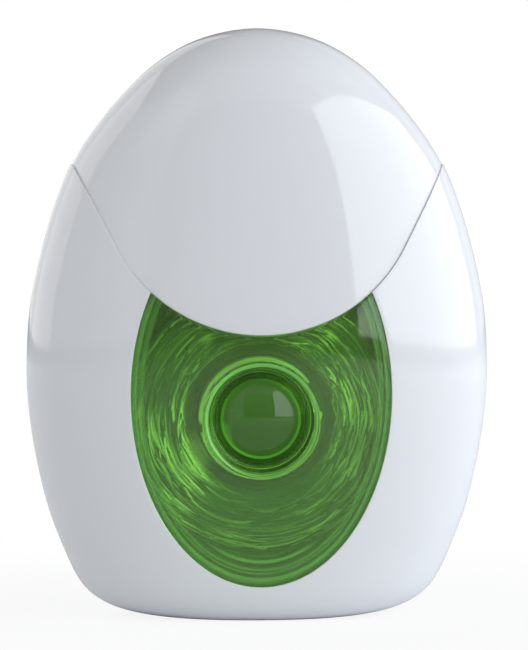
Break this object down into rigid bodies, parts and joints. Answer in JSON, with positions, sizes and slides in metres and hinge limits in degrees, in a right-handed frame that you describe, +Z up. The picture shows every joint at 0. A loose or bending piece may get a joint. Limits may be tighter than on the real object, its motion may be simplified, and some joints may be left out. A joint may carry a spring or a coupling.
{
  "type": "dental floss dispenser",
  "caption": "Egg-shaped floss dispenser with a hinged flip cap, a steel cutter under it, and a tinted oval window on a bobbin of floss that turns on the window's hub.",
  "frame": {"origin": "under the middle of the flat base, on the surface that the dispenser stands on", "axes": "+Z up along the egg's height, +X to the right as one faces the window, and -Y out of the window"},
  "size_m": [0.0534, 0.025, 0.068],
  "materials": {
    "shell_white": "polished moulding",
    "tinted_green": "clear green moulding",
    "core_white": "as moulded",
    "floss": "waxed strand",
    "steel": "bright strip"
  },
  "bodies": {
    "case": {"front_shell": "shell_white", "rear_shell": "shell_white", "hinge_pin": "steel", "window_cover": "tinted_green", "cassette_cup": "tinted_green", "cutter_deck": "core_white", "cutter": "steel", "floss_lead": "floss"},
    "lid": {"lid": "shell_white"},
    "bobbin": {"bobbin_core": "core_white", "floss_pack": "floss", "floss_winding": "floss"}
  },
  "joints": [
    {"name": "lid_hinge", "type": "hinge", "parent": "case", "child": "lid", "pos_m": [0, 0.01069, 0.05215], "axis": [-1, 0, 0], "range_deg": [0, 110]},
    {"name": "bobbin_spin", "type": "hinge", "parent": "case", "child": "bobbin", "pos_m": [0, 0, 0.0234], "axis": [0, -1, 0], "continuous": true}
  ]
}
